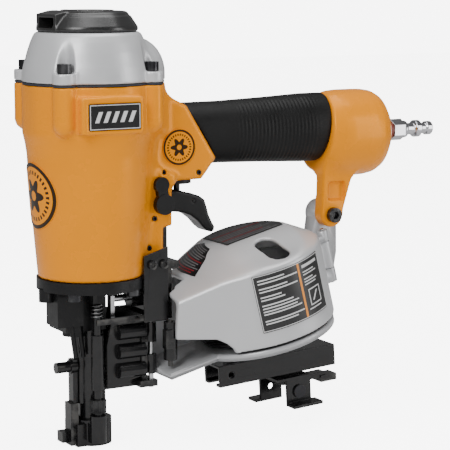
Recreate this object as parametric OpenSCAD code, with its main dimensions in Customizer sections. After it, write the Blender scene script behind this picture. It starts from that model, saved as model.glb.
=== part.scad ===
// Coil roofing nailer, in millimetres.
// The driver runs down the Z axis; z = 0 is the underside of the contact foot.
// +X points along the handle to the air plug; -Y is the side with the badge.

/* [Body] */
// Height of the casting's top face above the contact foot
body_top = 222; // [221:0.5:223]
// Radius of the casting at its top
body_r = 40; // [39:0.5:42]
// Radius of the casting at its foot
body_foot_r = 32; // [31.5:0.5:33]
// Half the width of the box behind the casting
box_half = 18; // [17.5:0.5:19]
// Distance of each cap bolt from the driver axis, along X and along Y
bolt_pitch = 28.4; // [28:0.2:29]

/* [Handle] */
// Height of the handle's centre line
handle_z = 188.6; // [188:0.2:189]
// Radius of the handle's core tube
core_r = 15; // [14:0.5:16]
// Grip radius at its front
grip_front_r = 19.8; // [19:0.1:20.5]
// Grip radius at its rear
grip_rear_r = 22.4; // [21.5:0.1:23]
// Distance of the grip's rear end from the driver axis
grip_end = 164; // [162:0.5:165]
// Width of the handle over its height
handle_oval = 0.8; // [0.8:0.05:1]
// Radius of the bulb that ends the handle
bulb_r = 28.4; // [27:0.2:29]
// Height of the bulb's centre line
bulb_z = 183.7; // [183:0.1:184.5]

/* [Drive] */
// Radius of the cylinder's bore
bore_r = 22.5; // [22:0.1:23]
// Stroke of the piston
stroke = 73; // [70:1:73]
// Radius of the driver blade
blade_r = 2.8; // [2.4:0.1:2.8]

/* [Magazine] */
// Lean of the canister's axis towards the nose
mag_tilt = 14; // [13:0.5:14]
// Outer radius of the canister's cover
cover_r = 47.6; // [47:0.2:48]
// Height of the cover's side wall
wall_h = 49; // [47:0.5:50]
// Height of the cover's flat top
cover_h = 60; // [58:0.5:61]

/* [Contact trip] */
// Travel of the contact foot
trip_travel = 8; // [6:0.5:8]
// Height of the contact foot's block
foot_h = 16; // [14:1:17]

/* [Shingle guide] */
// Lean of the guide rail
rail_tilt = 3.6; // [3:0.2:4]
// Length of the guide rail
rail_len = 87; // [80:1:90]

/* [Hidden] */
$fn = 48;
gap = 0.05;                       // between faces that meet
fit = 0.08;                       // between running parts, on the radius
body_foot = 105;                  // casting's lower face
gasket_t = 1.2;
cap_foot = body_top + gasket_t + 2 * gap;
cap_top = 253;
boss_top = 230;                   // seats of the cap bolts
core_x = [44, 170];               // handle core, end to end
air_r = 10;                       // air passage in the handle
leg_bolt = [169, 131.5];          // x, z of the bolt through the leg
leg_y = [-12, -2];                // leg's two faces
trig = [40.5, 148];               // x, z of the trigger's pivot
valve_x = 60;                     // axis of the trigger valve
lever_pin = [68, 147];            // x, z of the trigger lever's pivot
mag = [113, -15, 65];             // centre of the canister's rim
hinge = [61, 5];                  // cover hinge, in the canister's own frame
rail_at = [80, -10, 28];          // front end of the rail, underside
rod_at = [-2.4, -14];             // contact rod
door_pin = [35, -12];             // feed door's hinge
latch_pin = [42, -25];            // cover latch's pivot
cyl_at = [-6, 90];                // y, z of the feed cylinder's axis
piston_z = 204;                   // piston's underside at rest
nose_foot = 14;                   // lower end of the nose tube
shield_x = [30, 38];              // screws of the shield plate
crown_r = 30;                     // flat top of the cover
lobe_x = 24;                      // lobe of the casting and the cap, towards the handle
lobe_r = 25;

// ---- shared shapes ----

module along_x(x0, x1, r, y = 0, z = 0) {
    translate([x0, y, z]) rotate([0, 90, 0]) cylinder(r = r, h = x1 - x0);
}

module along_y(y0, y1, r, x = 0, z = 0) {
    translate([x, y0, z]) rotate([-90, 0, 0]) cylinder(r = r, h = y1 - y0);
}

module block(x, y, z) {
    translate([x[0], y[0], z[0]]) cube([x[1] - x[0], y[1] - y[0], z[1] - z[0]]);
}

// Outline in x and z, extruded from y0 to y1.
module side_plate(points, y0, y1) {
    translate([0, y1, 0]) rotate([90, 0, 0]) linear_extrude(y1 - y0) polygon(points);
}

module ring(r_in, r_out, z0, z1) {
    translate([0, 0, z0]) difference() {
        cylinder(r = r_out, h = z1 - z0);
        translate([0, 0, -1]) cylinder(r = r_in, h = z1 - z0 + 2);
    }
}

module o_ring(r, wire, z) {
    translate([0, 0, z]) rotate_extrude() translate([r, 0]) circle(r = wire, $fn = 20);
}

module at_bolts(pitch) {
    for (x = [-1, 1], y = [-1, 1]) translate([x * pitch, y * pitch, 0]) children();
}

// Screw with a socket in its head; the head's seat is z = 0 and the shank points down.
module socket_screw(shank_r, length, head_r, head_h) {
    difference() {
        union() {
            cylinder(r = head_r, h = head_h, $fn = 32);
            translate([0, 0, -length]) cylinder(r = shank_r, h = length + 0.1, $fn = 24);
        }
        translate([0, 0, head_h * 0.4]) cylinder(r = head_r * 0.55, h = head_h, $fn = 6);
    }
}

// Helical wire: a tube swept along a helix, with closed ends.
function helix_point(r, pitch, a) = [r * cos(a), r * sin(a), pitch * a / 360];
function wire_ring(r, pitch, wire, a, sides) = [for (k = [0:sides - 1])
    let (b = 360 * k / sides, c = helix_point(r, pitch, a))
    [c[0] + wire * cos(b) * cos(a), c[1] + wire * cos(b) * sin(a), c[2] + wire * sin(b)]];
module spring(r, wire, z0, z1, turns, steps = 14, sides = 6) {
    pitch = (z1 - z0 - 2 * wire) / turns;
    n = turns * steps;
    points = [for (i = [0:n]) each wire_ring(r, pitch, wire, 360 * i / steps, sides)];
    walls = [for (i = [0:n - 1], k = [0:sides - 1])
        let (a = i * sides + k, b = i * sides + (k + 1) % sides)
        [a, a + sides, b + sides, b]];
    caps = [[for (k = [0:sides - 1]) k], [for (k = [sides - 1:-1:0]) n * sides + k]];
    translate([0, 0, z0 + wire]) polyhedron(points, concat(walls, caps), convexity = 8);
}

module in_magazine() {
    translate(mag) rotate([0, -mag_tilt, 0]) children();
}

module on_rail() {
    translate(rail_at) rotate([0, -rail_tilt, 0]) children();
}

// ---- body ----

function grip_plane(z) = 59.4 + (207.5 - z) * 0.6228;    // grip's slanted front end

module casting_blank() {
    rotate_extrude($fn = 96) polygon([[0, body_foot], [body_foot_r, body_foot],
        [35.6, 148], [37.8, 180], [body_r, 193], [body_r, body_top], [0, body_top]]);
    block([0, 42], [-box_half, box_half], [body_foot + 3, 134]);
    block([0, 48], [-box_half, box_half], [133, 166]);
    at_bolts(bolt_pitch) {
        translate([0, 0, 200]) cylinder(r = 7.2, h = body_top - 200);
        translate([0, 0, 200]) sphere(r = 7.2);
    }
    block([-23.2, 16.8], [-41.5, -20], [195, 216.4]);
    translate([lobe_x, 0, 196]) cylinder(r = lobe_r, h = body_top - 196);
}

module neck_blank() {
    side_plate([[20, 161], [69.8, 161], [80.2, 174.1], [59.4, 207.5], [48, 212], [20, 215]],
        -17, 17);
    translate([core_x[0], 0, handle_z]) scale([1, handle_oval, 1])
        along_x(0, core_x[1] - core_x[0], core_r);
}

// Slanted face where the grip meets the bulb.
function grip_back(z) = grip_end + (z - handle_z) * 0.12;

module bulb_blank() {
    difference() {
        translate([0, 0, bulb_z]) scale([1, handle_oval + 0.05, 1]) rotate([0, 90, 0])
            rotate_extrude($fn = 72) polygon([[0, 155], [22.6, 155], [23.4, 161], [26.2, 165.5],
                [bulb_r, 172], [bulb_r, 197], [27.4, 203], [24.6, 208], [19, 212],
                [13, 215.5], [8, 218], [0, 218]]);
        side_plate([[150, 140], [grip_back(140), 140], [grip_back(230), 230], [150, 230]],
            -30, 30);
    }
    side_plate([[163, 168], [186, 168], [185, 157], [176.9, leg_bolt[1]],
        [161, leg_bolt[1]], [161.8, 157]], leg_y[0], leg_y[1]);
    along_y(leg_y[0], leg_y[1], 8.2, leg_bolt[0], leg_bolt[1]);
}

module main_frame() color("Orange") difference() {
    union() {
        casting_blank();
        neck_blank();
        bulb_blank();
    }
    translate([0, 0, 158]) cylinder(r = 33, h = 70);
    translate([0, 0, 140]) cylinder(r = 25.6, h = 30);
    translate([0, 0, 112]) cylinder(r = 28, h = 38);
    translate([0, 0, 100]) cylinder(r = 9, h = 20);
    along_x(30, 208, air_r, z = handle_z);
    along_x(200, 219, 4.6, z = bulb_z);
    at_bolts(bolt_pitch) translate([0, 0, 198]) cylinder(r = 2.7, h = 30, $fn = 24);
    at_bolts(19.5) translate([0, 0, 100]) cylinder(r = 2.6, h = 11, $fn = 24);
    block([32.2, 49], [-8.4, 8.4], [132, 161]);
    block([43, 49], [-8.4, 8.4], [120, 140]);
    along_y(-30, 30, 2.6, trig[0], trig[1]);
    for (p = [[66.7, 165.8], [42, 167.2], [35.3, 139.3], [31.5, 121.4]])
        along_y(-30, -box_half + 6, 1.55, p[0], p[1]);
    translate([valve_x, 0, 155]) cylinder(r = 8.05, h = 27);
    along_y(-20, 0, 3.1, leg_bolt[0], leg_bolt[1]);
    block([165.6, 178.6], [-15, leg_y[0] + 3], [141, 153]);
    block([-18.9, 14.7], [-45, -40.3], [197, 212.6]);
    for (x = shield_x) along_y(-30, -13, 1.65, x, 112);
}

module head_gasket() color("DimGray") translate([0, 0, body_top + gap]) difference() {
    union() {
        cylinder(r = body_r - 0.4, h = gasket_t, $fn = 96);
        translate([lobe_x, 0, 0]) cylinder(r = lobe_r - 0.4, h = gasket_t);
        at_bolts(bolt_pitch) cylinder(r = 6.8, h = gasket_t);
    }
    translate([0, 0, -1]) cylinder(r = 33, h = gasket_t + 2);
    at_bolts(bolt_pitch) translate([0, 0, -1]) cylinder(r = 2.7, h = gasket_t + 2, $fn = 24);
}

module cylinder_cap() color("LightGray") difference() {
    union() {
        translate([0, 0, cap_foot]) rotate_extrude($fn = 96)
            polygon([[0, 0], [body_r, 0], [body_r - 0.6, 6], [37.6, 12.5], [36.3, 18],
                [34.2, 24], [31.5, cap_top - cap_foot], [0, cap_top - cap_foot]]);
        at_bolts(bolt_pitch) translate([0, 0, cap_foot])
            cylinder(r = 7.2, h = boss_top - cap_foot);
        translate([lobe_x, 0, cap_foot]) rotate_extrude() polygon([[0, 0], [lobe_r, 0],
            [lobe_r, 9], [lobe_r - 2, 14], [lobe_r - 6, 20], [lobe_r - 11, 25], [0, 25]]);
    }
    at_bolts(bolt_pitch) translate([0, 0, boss_top]) cylinder(r = 5.6, h = 30);
    at_bolts(bolt_pitch) translate([0, 0, 200]) cylinder(r = 2.7, h = 40, $fn = 24);
    translate([0, 0, 200]) cylinder(r = 27.5, h = 46);
    translate([0, 0, 240]) cylinder(r = 9.1, h = 10);
    translate([0, 0, 240]) cylinder(r = 2.55, h = 20, $fn = 32);
    for (a = [0:60:300]) rotate(a) translate([6, 0, 240]) cylinder(r = 2.2, h = 20, $fn = 24);
}

module cap_bolts() color("Gray") at_bolts(bolt_pitch)
    translate([0, 0, boss_top + gap]) socket_screw(2.6, 30, 4.25, 5.5);

module exhaust_deflector() color("DarkSlateGray") difference() {
    union() {
        translate([0, 0, cap_top + gap]) cylinder(r1 = 31, r2 = 27.5, h = 9.5, $fn = 96);
        translate([0, 0, cap_top + 9]) cylinder(r1 = 25, r2 = 22.5, h = 4, $fn = 96);
        block([-27.5, -8], [-14, 14], [cap_top + 0.4, cap_top + 12.6]);
    }
    translate([0, 0, cap_top - 1]) ring(3.6, 21, 0, 9.5);
    block([-35, -10], [-11, 11], [cap_top + 2.5, cap_top + 8.5]);
    translate([0, 0, cap_top - 5]) cylinder(r = 2.6, h = 30, $fn = 32);
    translate([0, 0, cap_top + 9.5]) cylinder(r = 6, h = 10);
}

module deflector_bolt() color("Gray") translate([0, 0, cap_top + 9.5 + gap])
    socket_screw(2.5, 12, 5.2, 3);

module cylinder_sleeve() color("Silver") difference() {
    union() {
        translate([0, 0, 112 + gap]) cylinder(r = 25.5, h = 219 - 112 - gap, $fn = 72);
        translate([0, 0, 214]) cylinder(r = 32.9, h = 5, $fn = 72);
    }
    translate([0, 0, 100]) cylinder(r = bore_r, h = 130, $fn = 72);
    for (a = [0:45:315]) rotate(a) {
        along_x(20, 30, 2, z = 135.5);
        translate([28.6, 0, 210]) cylinder(r = 2.2, h = 12, $fn = 24);
    }
    ring(24.2, 27, 153, 155.2);
    ring(31.4, 35, 215.6, 217.4);
}

module sleeve_seals() color("Black") {
    o_ring(24.95, 0.6, 154.1);
    o_ring(32.2, 0.7, 216.5);
}

module bumper() color("DarkOliveGreen") difference() {
    translate([0, 0, 112 + gap]) union() {
        cylinder(r = bore_r - 0.1, h = 12);
        translate([0, 0, 11]) cylinder(r1 = bore_r - 0.1, r2 = 17, h = 7.8);
    }
    translate([0, 0, 100]) cylinder(r = 5, h = 40);
}

module piston() color("Silver") difference() {
    union() {
        translate([0, 0, piston_z]) cylinder(r = bore_r - fit, h = 5, $fn = 72);
        translate([0, 0, piston_z + 4]) cylinder(r = bore_r - 3, h = 6, $fn = 72);
        translate([0, 0, piston_z + 9]) cylinder(r = bore_r - fit, h = 5, $fn = 72);
    }
    translate([0, 0, piston_z + 4]) rotate_extrude() polygon([[blade_r + 5, 4], [17, 4],
        [17, 12], [blade_r + 5, 12]]);
    translate([0, 0, piston_z - 1]) cylinder(r = blade_r + gap, h = 10);
}

module piston_ring() color("Black") o_ring(bore_r - 1.55, 1.42, piston_z + 7);

module driver_blade() color("SlateGray") translate([0, 0, piston_z - 127])
    cylinder(r = blade_r, h = 134, $fn = 32);

module head_valve() color("WhiteSmoke") rotate_extrude($fn = 72)
    polygon([[6.5, 219.1], [26.8, 219.1], [27.42, 220], [27.42, 230], [23, 230],
        [21, 226], [12, 226], [9.02, 229], [9.02, 244.4], [6.5, 244.4]]);

module head_valve_spring() color("Gray") spring(16, 0.9, 226.2, 245.9, 4, 16);

// ---- handle ----

module grip() color("Black") difference() {
    translate([0, 0, handle_z]) scale([1, handle_oval, 1]) rotate([0, 90, 0])
        rotate_extrude($fn = 72) polygon([[0, 50], [grip_front_r, 50], [grip_front_r, 90],
            [grip_front_r + 1.2, 122], [grip_rear_r, 150], [grip_rear_r, 175], [0, 175]]);
    translate([40, 0, handle_z]) scale([1, handle_oval, 1]) along_x(0, 140, core_r + 0.08);
    side_plate([[0, 130], [grip_plane(130) + 0.15, 130], [grip_plane(240) + 0.15, 240],
        [0, 240]], -40, 40);
    side_plate([[200, 130], [grip_back(130) - 0.1, 130], [grip_back(240) - 0.1, 240],
        [200, 240]], -40, 40);
}

module badge_plate() color("Black")
    block([-18.8, 14.6], [-41.3, -40.3 - gap], [197.1, 212.5]);

// Round badges: a flat one on the neck and a curved one on the casting's front.
module round_badges() color("Black") {
    along_y(-17.65, -17.05, 11.1, 52.6, 182.1);
    intersection() {
        rotate_extrude($fn = 96) polygon([[34.49, 134], [35.66, 148], [37.86, 180],
            [38.36, 180], [36.16, 148], [34.99, 134]]);
        along_x(-50, 0, 20.2, z = 156);
    }
}

module roll_pins() color("Silver")
    for (p = [[66.7, 165.8, 17], [42, 167.2, 17], [35.3, 139.3, 18], [31.5, 121.4, 18]])
        difference() {
            along_y(-p[2] - 0.4, -box_half + 5.9, 1.5, p[0], p[1]);
            along_y(-p[2] - 1, -box_half + 7, 0.8, p[0], p[1]);
        }

module thread_seal() color("FireBrick") translate([0, 0, bulb_z]) rotate([0, 90, 0])
    ring(4.65, 6, 218 + gap, 221.6);

module air_plug() color("LightSlateGray") translate([0, 0, bulb_z]) rotate([0, 90, 0])
    difference() {
        union() {
            translate([0, 0, 209]) cylinder(r = 4.5, h = 14);
            translate([0, 0, 221.65]) cylinder(r = 7.2, h = 9, $fn = 6);
            rotate_extrude() polygon([[0, 230], [6, 230], [5.6, 233.6], [3.9, 234.6],
                [3.9, 239.6], [5.7, 241], [5.7, 244.6], [3.5, 246.2], [3.5, 249.4],
                [4.6, 250.4], [4.6, 254.2], [4, 254.8], [0, 254.8]]);
        }
        translate([0, 0, 200]) cylinder(r = 2.6, h = 70, $fn = 24);
    }

module leg_screw() color("Gray") translate([leg_bolt[0], leg_y[0] - gap, leg_bolt[1]])
    rotate([90, 0, 0]) socket_screw(3, 24, 4.9, 3.5);

module leg_nut() color("Gray") difference() {
    translate([leg_bolt[0], 8.1 + gap, leg_bolt[1]]) rotate([-90, 0, 0])
        cylinder(r = 5.6, h = 4.2, $fn = 6);
    along_y(0, 20, 3.1, leg_bolt[0], leg_bolt[1]);
}

// ---- trigger ----

module valve_body() color("DimGray") difference() {
    translate([valve_x, 0, 158]) union() {
        cylinder(r = 9, h = 161 - 158 - gap);
        cylinder(r = 8, h = 23);
    }
    translate([valve_x, 0, 150]) cylinder(r = 2.1, h = 40, $fn = 32);
    translate([valve_x, 0, 164]) cylinder(r = 5, h = 14);
}

module valve_stem() color("Silver") translate([valve_x, 0, 0]) {
    translate([0, 0, 149.2]) cylinder(r = 2, h = 30, $fn = 32);
    translate([0, 0, 164.1]) cylinder(r = 4.6, h = 1.6, $fn = 32);
}

module valve_spring() color("Gray") translate([valve_x, 0, 0])
    spring(3.4, 0.5, 165.8, 177.9, 5, 12);

module trigger() color("Black") difference() {
    union() {
        along_y(-8, 8, 7.4, trig[0], trig[1]);
        side_plate([[40.5, 155.2], [56, 154.6], [72.4, 149.9], [76.6, 146.9], [79, 138.5],
            [83.4, 129.9], [82.6, 126.8], [80.4, 126], [76.6, 128.2], [71.3, 134],
            [65.9, 137.8], [60.3, 140.2], [52, 140.9], [40.5, 140.8]], -8, 8);
    }
    along_y(-9, 9, 2.6, trig[0], trig[1]);
    block([48.9, 73.4], [-6.2, 6.2], [144.2, 170]);
    block([48, 57], [-6.2, 6.2], [130, 150]);
    along_y(-9, 9, 1.05, lever_pin[0], lever_pin[1]);
}

module lever_pivot() color("Silver") along_y(-7.9, 7.9, 1, lever_pin[0], lever_pin[1]);

module trigger_lever() color("Silver") difference() {
    union() {
        block([49.4, 69], [-5, 5], [145.6, 147.4]);
        along_y(-5, 5, 2.2, lever_pin[0], lever_pin[1]);
    }
    along_y(-9, 9, 1.06, lever_pin[0], lever_pin[1]);
}

module mode_selector() color("Black") {
    along_y(-21, 14, 2.5, trig[0], trig[1]);
    along_y(-22.6, -box_half - 0.15, 6.3, trig[0], trig[1]);
    translate([trig[0], 0, trig[1]]) rotate([0, -10, 0]) {
        block([-3.4, 3.4], [-22.2, -box_half - 0.15], [0, 12.4]);
        along_y(-22.6, -box_half - 0.15, 4.8, 0, 12.4);
    }
}

// ---- nose ----

module nose_housing() color("DimGray") difference() {
    union() {
        translate([0, 0, 98]) cylinder(r = 33, h = body_foot - 98 - gap, $fn = 72);
        block([0, 41.8], [-16.5, 16.5], [98, body_foot - gap]);
        block([-21, 6], [-9, 18], [72, 99]);
        block([-27, -10], [-11, 6], [76, 99]);
        translate([-12, -2, 69]) cylinder(r = 7.5, h = 10);
        block([-6.6, 1.6], [-17.6, -6], [90, 96]);
        for (x = [-17, -12]) translate([x, -8.2, 76]) rotate([0, 172, 0])
            cylinder(r = 1.5, h = 20);
        translate([-29, 0, 91]) cylinder(r = 5, h = 8);
        block([-29, -20], [-5, 5], [97, 100]);
    }
    translate([0, 0, 60]) cylinder(r = 8.6, h = 38.1);
    translate([0, 0, 90]) cylinder(r = blade_r + 0.12, h = 20, $fn = 32);
    translate([0, 0, 101]) cylinder(r = 8, h = 10);
    block([2, 12], [-6.1, 6.1], [60, 77]);
    translate([rod_at[0], rod_at[1], 60]) cylinder(r = 2.6, h = 37);
    at_bolts(19.5) translate([0, 0, 90]) cylinder(r = 2.6, h = 20, $fn = 24);
    at_bolts(19.5) translate([0, 0, 60]) cylinder(r = 4.6, h = 38.2, $fn = 32);
}

// Nail channel, with the back wall and the brackets of the feed door.
module nose_tube() color("SlateGray") difference() {
    union() {
        translate([0, 0, nose_foot]) cylinder(r = 8.5, h = 84 - gap);
        translate([-7, 0, nose_foot + 12]) cylinder(r = 4.6, h = 42);
        block([3, 38], [6.2, 9.2], [38, 71.9]);
        block([6.1, 38], [6.2, 9.2], [70, 82]);
        block([4, 38], [-9, 9.2], [34, 38]);
        block([26, 38], [-15.6, 9.2], [34, 38]);
        block([30.5, 38], [-15.6, 9.2], [78.6, 82]);
    }
    translate([0, 0, nose_foot - 1]) cylinder(r = 5.4, h = 64);
    translate([0, 0, 60]) cylinder(r = blade_r + 0.12, h = 60, $fn = 32);
    block([2, 12], [-6.1, 6.1], [38, 77]);
    block([-20, 3], [8.4, 12], [70, 100]);
    translate([door_pin[0], door_pin[1], 30]) cylinder(r = 1.78, h = 60, $fn = 32);
    for (z = [46, 72]) along_y(4, 12, 1.7, 20, z);
}

module nose_bolts() color("Gray") at_bolts(19.5) translate([0, 0, 98.2 - gap])
    mirror([0, 0, 1]) socket_screw(2.5, 12.4, 4.25, 4.5);

module shield_plate() color("Black") difference() {
    union() {
        side_plate([[24.7, 76.8], [41.2, 76.8], [41.2, 122.5], [24.7, 117.5]], -24.2, -22.7);
        block([35, 41.2], [-23, -18.1], [108.5, 116]);
    }
    for (x = shield_x) along_y(-25, -10, 1.65, x, 112);
}

module shield_screws() color("Gray") for (x = shield_x)
    translate([x, -24.2 - gap, 112]) rotate([90, 0, 0]) socket_screw(1.6, 10.8, 2.8, 1.8);

module feed_cylinder() color("DimGray") difference() {
    union() {
        along_x(22.5, 45.5, 6.2, cyl_at[0], cyl_at[1]);
        block([26, 40], [-8, -4], [94, 98 - gap]);
    }
    along_x(24, 44, 4.6, cyl_at[0], cyl_at[1]);
    along_x(20, 26, 2.3, cyl_at[0], cyl_at[1]);
}

// Piston, rod and the hanger that carries the feed pawl.
module feed_piston() color("Silver") difference() {
    union() {
        along_x(24.2, 28.5, 4.52, cyl_at[0], cyl_at[1]);
        along_x(9.4, 25, 2.22, cyl_at[0], cyl_at[1]);
        block([9.4, 12], [-8.8, -3.6], [63, 92]);
        block([9.4, 18], [-8.8, -7.4], [46, 64]);
        block([12.6, 18], [-8.8, -3.8], [62, 64]);
        block([12.6, 18], [-8.8, -3.8], [46, 48]);
    }
    translate([15.6, -5.6, 40]) cylinder(r = 1.05, h = 30, $fn = 24);
}

module feed_spring() color("Gray") translate([0, cyl_at[0], cyl_at[1]]) rotate([0, 90, 0])
    spring(3.2, 0.5, 28.6, 43.9, 5, 12);

module feed_pawl() color("DarkGray") {
    translate([15.6, -5.6, 46]) cylinder(r = 1, h = 18, $fn = 24);
    translate([15.6, -5.6, 48.1]) cylinder(r = 1.6, h = 13.8, $fn = 24);
    translate([0, 0, 48.1]) linear_extrude(13.8)
        polygon([[15.6, -4.1], [15.2, -6.6], [9.8, -5.6], [9.2, -3.9]]);
}

module feed_door() color("DimGray") difference() {
    union() {
        side_plate([[5, 35.2], [31, 41.2], [31, 76], [8, 76], [5, 62]], -12.2, -9.4);
        for (z = [41, 53, 65]) along_x(12, 30, 4.6, -12.6, z + 4.6);
        for (z = [42, 62]) {
            translate([door_pin[0], door_pin[1], z]) cylinder(r = 3.4, h = 12, $fn = 32);
            block([28, 35], [-13.4, -10.6], [z, z + 12]);
        }
    }
    translate([door_pin[0], door_pin[1], 30]) cylinder(r = 1.82, h = 60, $fn = 32);
    block([0, 33], [-9.4, 0], [30, 90]);
}

module door_hinge_pin() color("Silver") translate([door_pin[0], door_pin[1], 33])
    cylinder(r = 1.7, h = 50, $fn = 32);

// ---- contact trip ----

// Foot, with the arm and thumb stud that rise in front of the nose.
module contact_foot() color("Black") difference() {
    union() {
        cylinder(r = 12, h = foot_h);
        block([-14, 8.5], [-9, 10], [0, foot_h - 2]);
        translate([rod_at[0], rod_at[1], 3]) cylinder(r = 5, h = foot_h + 1);
        block([rod_at[0] - 5, rod_at[0] + 5], [rod_at[1], -4], [3, foot_h - 1]);
        block([-21, -10], [-2, 6], [2, 8.5]);
        block([-17, -11.8], [-6, 3], [0.5, 27]);
        block([-14.8, -11.8], [-5, 2], [20, 54]);
        along_x(-16, -11.8, 4.4, -2, 49.5);
        along_x(-25, -13, 3.4, -2, 49.5);
    }
    translate([0, 0, 5.5]) cylinder(r = 8.6, h = 40);
    translate([-7, 0, 5.5]) cylinder(r = 4.7, h = 60);
    translate([0, 0, -1]) cylinder(r = 5.6, h = 10);
    translate([rod_at[0], rod_at[1], 4]) cylinder(r = 2.56, h = 20);
}

// Rod beside the nose, with the strap that runs back and up to the trigger.
module contact_rod() color("DimGray") {
    translate([rod_at[0], rod_at[1], 4.1]) cylinder(r = 2.5, h = 84.8);
    translate([rod_at[0], rod_at[1], 36]) cylinder(r = 3.9, h = 34);
    block([-4, 47], [-17.5, -15.7], [76.4, 80]);
    block([43.2, 47], [-17.5, -15.7], [76.4, 112]);
    block([43.2, 52], [-17.5, 2], [107, 112]);
    block([49.6, 52], [-2, 2], [107, 139.4]);
}

module contact_spring() color("Gray") translate([rod_at[0], rod_at[1], 0])
    spring(3.6, 0.45, 80.1, 89.9, 4, 12);

module depth_wheel() color("Black") difference() {
    translate([rod_at[0], rod_at[1], 22]) union() {
        cylinder(r = 4.6, h = 8);
        for (a = [0:30:330]) rotate(a) translate([4.3, 0, 0]) cylinder(r = 0.8, h = 8, $fn = 16);
    }
    translate([rod_at[0], rod_at[1], 0]) cylinder(r = 2.56, h = 40);
}

// ---- magazine ----

module magazine_base() color("Silver") difference() {
    union() {
        in_magazine() {
            difference() {
                union() {
                    translate([0, 0, -6]) cylinder(r = 46.5, h = 4, $fn = 96);
                    block([-77, -30], [-16, 26], [-6, -2]);
                }
                translate([0, 0, -2.8]) cylinder(r = 43.5, h = 2, $fn = 96);
            }
            difference() {
                translate([0, 0, -3]) cylinder(r = 46.5, h = 39, $fn = 96);
                translate([0, 0, -3.5]) cylinder(r = 43.5, h = 60, $fn = 96);
                block([-60, 60], [-60, 1], [-10, 60]);
                block([-60, -20], [0, 23.2], [-10, 60]);
            }
            block([-80, -36], [24.4, 27], [-3, 30]);
            translate([0, 0, -3]) cylinder(r = 6, h = 26);
            block([42, 61], [1.7, 9], [8, 17]);
            block([42, 61], [1.7, 9], [36, 40]);
            for (w = [8, 36]) translate([hinge[0], hinge[1], w])
                cylinder(r = 3.5, h = w == 8 ? 9 : 7, $fn = 32);
            block([42, 52], [8.6, 16], [8, 36]);
            block([42, 52], [8.6, 9], [30, 40]);
        }
        side_plate([[154, 74], [166, 78], [176, 90], [178.6, 105], [178.2, leg_bolt[1]],
            [161.2, leg_bolt[1]], [157.5, 104]], -1.9, 8.1);
        along_y(-1.9, 8.1, 8.6, leg_bolt[0], leg_bolt[1]);
        block([16, 40], [9.3, 12], [42, 76]);
        block([90, 126], [-15, -5], [44, 62]);
    }
    in_magazine() {
        translate([hinge[0], hinge[1], 0]) cylinder(r = 1.55, h = 60, $fn = 32);
        difference() {
            translate([0, 0, -2.8]) cylinder(r = 43.5, h = 38, $fn = 96);
            translate([0, 0, -3]) cylinder(r = 6, h = 26);
        }
    }
    along_y(-10, 20, 3.1, leg_bolt[0], leg_bolt[1]);
    for (z = [46, 72]) along_y(4, 20, 1.7, 20, z);
    on_rail() block([-2, rail_len + 2], [-12, 12], [-5, 14.2]);
    on_rail() for (x = [18, 38]) translate([x, 0, 10]) cylinder(r = 1.7, h = 14, $fn = 24);
}

module base_screws() color("Gray") for (z = [46, 72])
    translate([20, 12 + gap, z]) rotate([-90, 0, 0]) socket_screw(1.6, 5.5, 2.9, 2);

module hinge_pin() color("Silver") in_magazine()
    translate([hinge[0], hinge[1], 7]) cylinder(r = 1.5, h = 37, $fn = 32);

// Flat top of the cover: a disc with two straight sides.
module crown(inset) intersection() {
    circle(r = crown_r - inset, $fn = 96);
    translate([inset - 18, inset - 10]) square([60, 60]);
}

// Solid outline of the cover, drawn in by the given inset.
module cover_blank(inset, foot) difference() {
    union() {
        translate([0, 0, foot])
            cylinder(r = cover_r - inset, h = wall_h - inset - foot, $fn = 96);
        translate([0, 0, wall_h - inset])
            cylinder(r1 = cover_r - inset, r2 = crown_r - inset, h = cover_h - wall_h, $fn = 96);
        translate([0, 0, foot]) linear_extrude(wall_h + 1 - inset - foot)
            polygon([[-14, inset - 44], [inset - 68, inset - 17],
                [inset - 68, -8], [-44, 20 - inset], [0, 0]]);
    }
    translate([0, -10, cover_h - inset]) rotate([16.5, 0, 0])
        block([-80, 80], [-60, 0], [0, 30]);
    translate([-18, -8, cover_h - inset]) rotate([15.8, 0, 0]) rotate([0, -20, 0])
        block([-80, 80], [-80, 80], [0, 40]);
}

module magazine_cover() color("Silver") difference() {
    in_magazine() difference() {
        union() {
            difference() {
                cover_blank(0, 0.3);
                cover_blank(2.6, -1);
                block([-60, 60], [0.6, 60], [-1, 36.4]);
                block([-80, -20], [-5, 60], [-1, 37]);
                block([-80, -64.6], [-14.3, 60], [0, 60]);
                side_plate([[-90, -2], [-38, -2], [-40, 7], [-46, 12], [-90, 24]], -60, -5);
                for (v = [-34.5, -21.5]) translate([4, v, 40]) cylinder(r = 7, h = 30);
                block([-3, 11], [-34.5, -21.5], [40, 70]);
            }
            block([44, 61], [2.8, 4.6], [17.2, 35.8]);
            translate([hinge[0], hinge[1], 17.2]) cylinder(r = 3.4, h = 18.6, $fn = 32);
            block([43, 49], [-6, 4.6], [17.2, 35.8]);
        }
        block([41.5, 62], [0.6, 16.2], [35.9, 40.2]);
        translate([hinge[0], hinge[1], 0]) cylinder(r = 1.58, h = 60, $fn = 32);
        difference() {
            translate([0, 0, 0]) cylinder(r = 46.6, h = 36.4, $fn = 96);
            block([-60, 60], [-60, 0.8], [-1, 60]);
        }
    }
    block([30, 54], [-20.8, 40], [40, 130]);
    block([30, 42.6], [-40, 40], [40, 130]);
    translate([latch_pin[0], latch_pin[1], 50]) cylinder(r = 4.5, h = 27);
}

module top_label() color("Black") in_magazine()
    translate([0, 0, cover_h + gap]) linear_extrude(0.7) crown(2.5);

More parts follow.
